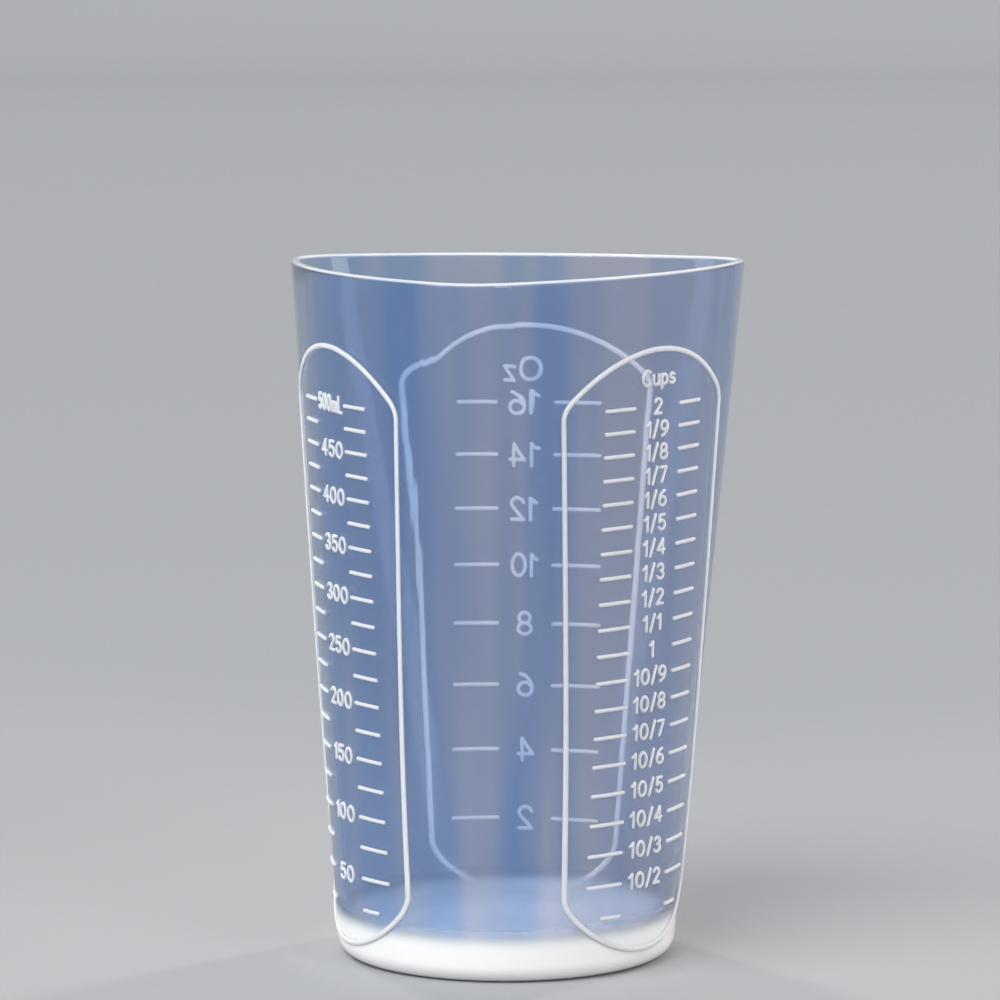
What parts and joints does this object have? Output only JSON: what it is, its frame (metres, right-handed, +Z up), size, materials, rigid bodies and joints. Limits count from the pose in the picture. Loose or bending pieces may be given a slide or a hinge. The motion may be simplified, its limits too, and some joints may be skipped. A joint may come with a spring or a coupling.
{
  "type": "resin mixing cup",
  "caption": "Translucent silicone mixing cup with a round thick base, a softly three-cornered pouring mouth and raised white volume scales on its three sides.",
  "frame": {"origin": "middle of the round base, on the table", "axes": "+Z up along the cup's axis, -Y towards the corner between the millilitre and cups scales"},
  "size_m": [0.0962, 0.0935, 0.144],
  "materials": {
    "clear_silicone": "satin, translucent",
    "ml_marks": "satin",
    "cups_marks": "satin",
    "ounce_marks": "satin"
  },
  "bodies": {
    "root": {"cup_body": "clear_silicone", "ml_panel_outline": "ml_marks", "ml_rows_left": "ml_marks", "ml_rows_right": "ml_marks", "cups_panel_outline": "cups_marks", "cups_rows_left": "cups_marks", "cups_rows_right": "cups_marks", "ounce_panel_outline": "ounce_marks", "ounce_rows_left": "ounce_marks", "ounce_rows_right": "ounce_marks"}
  },
  "joints": []
}
